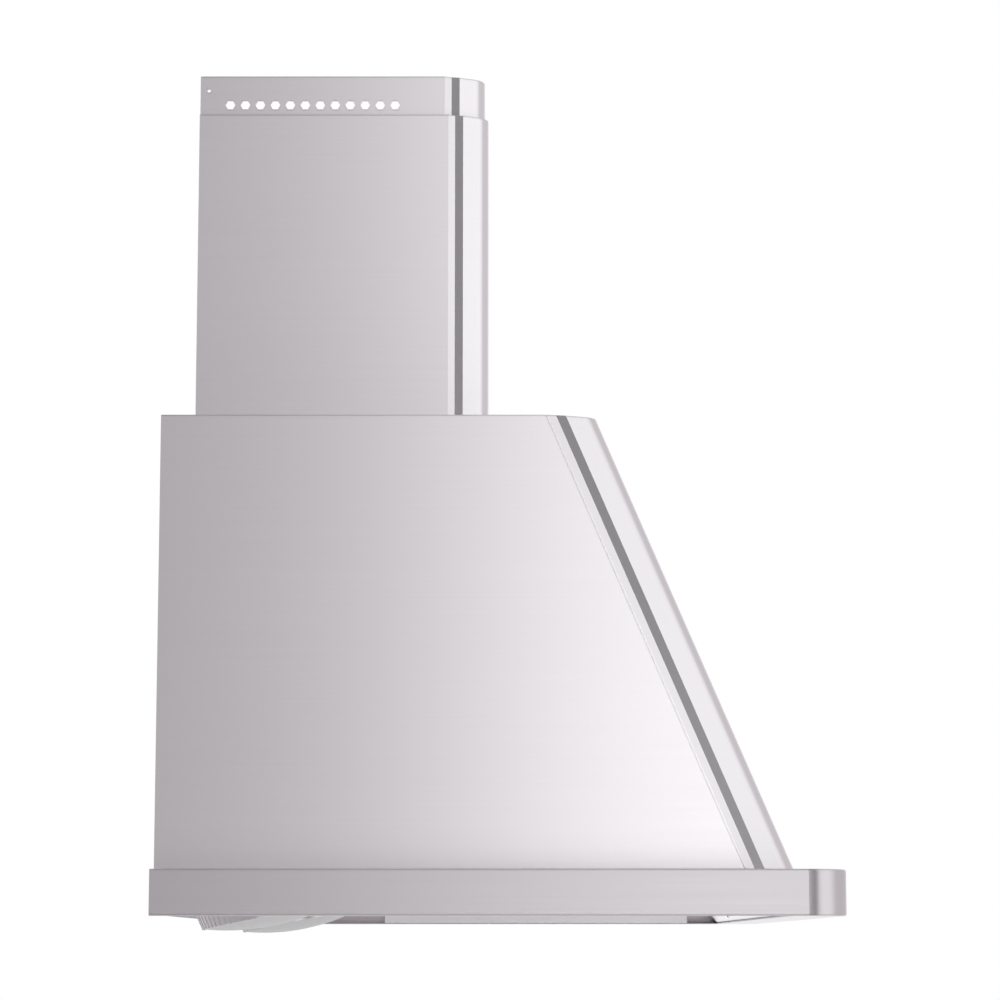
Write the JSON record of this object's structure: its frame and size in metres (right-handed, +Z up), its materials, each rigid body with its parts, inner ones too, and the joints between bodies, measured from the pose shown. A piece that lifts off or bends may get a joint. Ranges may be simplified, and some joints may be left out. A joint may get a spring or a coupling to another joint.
{
  "type": "range hood",
  "caption": "Wall-mounted chimney range hood with slanted round-cornered canopy, rim band, telescopic vented cover, blower, swing-down baffle filters and warming lamps.",
  "frame": {"origin": "centre of the four wall holes, on the wall plane", "axes": "+Y into the wall, -Y towards the cook, +Z up, +X to the right as the cook faces it"},
  "size_m": [0.914, 0.602, 0.8502],
  "materials": {
    "rim_steel": "brushed along its length",
    "canopy_steel": "fine horizontal brushing",
    "chimney_steel": "fine horizontal brushing",
    "filter_steel": "satin",
    "spring_steel": "satin",
    "bright_steel": "polished",
    "collar_steel": "ribbed, satin",
    "galvanised": "dull zinc",
    "lens_plastic": "frosted",
    "bulb_glass": "frosted face, silvered inside",
    "ceramic": "glazed porcelain",
    "wheel_steel": "bare",
    "motor_paint": "satin black",
    "pad_plastic": "smooth",
    "housing_plastic": "moulded",
    "board": "solder mask",
    "button_steel": "turned, satin",
    "box_paint": "grey",
    "gland_plastic": "moulded",
    "screw_zinc": "zinc plated"
  },
  "bodies": {
    "hood": {"rim_band": "rim_steel", "canopy_front": "canopy_steel", "canopy_side_left": "canopy_steel", "canopy_side_right": "canopy_steel", "canopy_top": "canopy_steel", "back_panel": "galvanised", "lower_chimney_cover": "chimney_steel", "lamp_rail": "rim_steel", "lamp_shelf": "rim_steel", "side_ledge_left": "rim_steel", "side_ledge_right": "rim_steel", "centre_bar": "rim_steel", "filter_catches": "spring_steel", "led_spot_left": "bright_steel", "led_spot_right": "bright_steel", "led_lens_left": "lens_plastic", "led_lens_right": "lens_plastic", "lamp_ring_left": "collar_steel", "lamp_ring_right": "collar_steel", "warming_lamp_left": "bulb_glass", "warming_lamp_right": "bulb_glass", "lamp_socket_left": "ceramic", "lamp_socket_right": "ceramic", "lamp_bracket_left": "galvanised", "lamp_bracket_right": "galvanised", "blower_scroll": "galvanised", "blower_side_left": "galvanised", "blower_side_right": "galvanised", "motor": "motor_paint", "motor_bracket": "galvanised", "duct_collar": "galvanised", "control_housing": "housing_plastic", "control_board": "board", "junction_box": "box_paint", "junction_box_cover": "box_paint", "cable_gland": "gland_plastic", "capacitor": "housing_plastic", "lamp_driver": "housing_plastic", "foot_studs": "screw_zinc", "cover_screws": "screw_zinc", "motor_screws": "screw_zinc"},
    "upper_chimney": {"upper_chimney_cover": "chimney_steel", "glide_pads": "pad_plastic"},
    "filter_left": {"filter_frame_left": "filter_steel", "filter_baffles_left": "filter_steel"},
    "filter_right": {"filter_frame_right": "filter_steel", "filter_baffles_right": "filter_steel"},
    "pull_left": {"ring_pull_left": "bright_steel"},
    "pull_right": {"ring_pull_right": "bright_steel"},
    "rotor": {"impeller": "wheel_steel", "motor_shaft": "bright_steel"},
    "flap_front": {"damper_flap_front": "bright_steel"},
    "flap_rear": {"damper_flap_rear": "bright_steel"},
    "button_off": {"button_off": "button_steel"},
    "button_light": {"button_light": "button_steel"},
    "button_warming": {"button_warming": "button_steel"},
    "button_speed_1": {"button_speed_1": "button_steel"},
    "button_speed_2": {"button_speed_2": "button_steel"},
    "button_speed_3": {"button_speed_3": "button_steel"}
  },
  "joints": [
    {"name": "chimney_slide", "type": "slide", "parent": "hood", "child": "upper_chimney", "axis": [0, 0, 1], "range_m": [-0.038, 0.24]},
    {"name": "filter_left_swing", "type": "hinge", "parent": "hood", "child": "filter_left", "pos_m": [-0.216, -0.176, -0.2985], "axis": [1, 0, 0], "range_deg": [0, 75]},
    {"name": "filter_right_swing", "type": "hinge", "parent": "hood", "child": "filter_right", "pos_m": [0.216, -0.176, -0.2985], "axis": [1, 0, 0], "range_deg": [0, 75]},
    {"name": "pull_left_swing", "type": "hinge", "parent": "filter_left", "child": "pull_left", "pos_m": [-0.216, -0.507, -0.3072], "axis": [1, 0, 0], "range_deg": [-85, 85]},
    {"name": "pull_right_swing", "type": "hinge", "parent": "filter_right", "child": "pull_right", "pos_m": [0.216, -0.507, -0.3072], "axis": [1, 0, 0], "range_deg": [-85, 85]},
    {"name": "rotor_spin", "type": "hinge", "parent": "hood", "child": "rotor", "pos_m": [0, -0.22, -0.095], "axis": [1, 0, 0], "continuous": true},
    {"name": "flap_front_swing", "type": "hinge", "parent": "hood", "child": "flap_front", "pos_m": [0, -0.148, 0.1265], "axis": [-1, 0, 0], "range_deg": [0, 75]},
    {"name": "flap_rear_swing", "type": "hinge", "parent": "hood", "child": "flap_rear", "pos_m": [0, -0.14, 0.1265], "axis": [1, 0, 0], "range_deg": [0, 75]},
    {"name": "button_off_press", "type": "slide", "parent": "hood", "child": "button_off", "axis": [0, 1, 0], "range_m": [0, 0.0015], "stiffness_N_per_m": 500, "springref_m": -0.0005},
    {"name": "button_light_press", "type": "slide", "parent": "hood", "child": "button_light", "axis": [0, 1, 0], "range_m": [0, 0.0015], "stiffness_N_per_m": 500, "springref_m": -0.0005},
    {"name": "button_warming_press", "type": "slide", "parent": "hood", "child": "button_warming", "axis": [0, 1, 0], "range_m": [0, 0.0015], "stiffness_N_per_m": 500, "springref_m": -0.0005},
    {"name": "button_speed_1_press", "type": "slide", "parent": "hood", "child": "button_speed_1", "axis": [0, 1, 0], "range_m": [0, 0.0015], "stiffness_N_per_m": 500, "springref_m": -0.0005},
    {"name": "button_speed_2_press", "type": "slide", "parent": "hood", "child": "button_speed_2", "axis": [0, 1, 0], "range_m": [0, 0.0015], "stiffness_N_per_m": 500, "springref_m": -0.0005},
    {"name": "button_speed_3_press", "type": "slide", "parent": "hood", "child": "button_speed_3", "axis": [0, 1, 0], "range_m": [0, 0.0015], "stiffness_N_per_m": 500, "springref_m": -0.0005}
  ]
}
